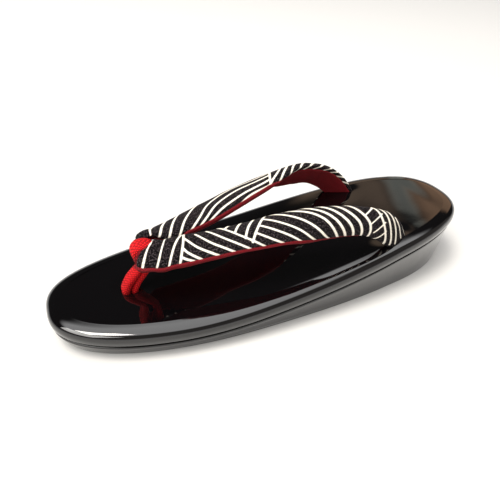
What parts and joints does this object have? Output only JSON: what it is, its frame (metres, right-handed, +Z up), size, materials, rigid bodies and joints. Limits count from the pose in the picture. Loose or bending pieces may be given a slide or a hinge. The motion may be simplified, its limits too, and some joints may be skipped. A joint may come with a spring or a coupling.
{
  "type": "zori sandal",
  "caption": "Japanese thong sandal with a glossy black wedge sole in two layers, a padded cloth strap in a V and a red toe thong.",
  "frame": {"origin": "on the floor, under the middle of the sole", "axes": "+X to the toe, +Y to one side, +Z up"},
  "size_m": [0.24, 0.0842, 0.0554],
  "materials": {
    "enamel_side": "black enamel over the wedge, high gloss",
    "enamel_top": "black enamel over the footbed, mirror gloss",
    "strap_cloth": "charcoal woven cloth with cream wave lines",
    "red_crepe": "red crepe, fine grain"
  },
  "bodies": {
    "root": {"wedge": "enamel_side", "footbed": "enamel_top", "straps": "strap_cloth", "toe_thong": "red_crepe"}
  },
  "joints": []
}
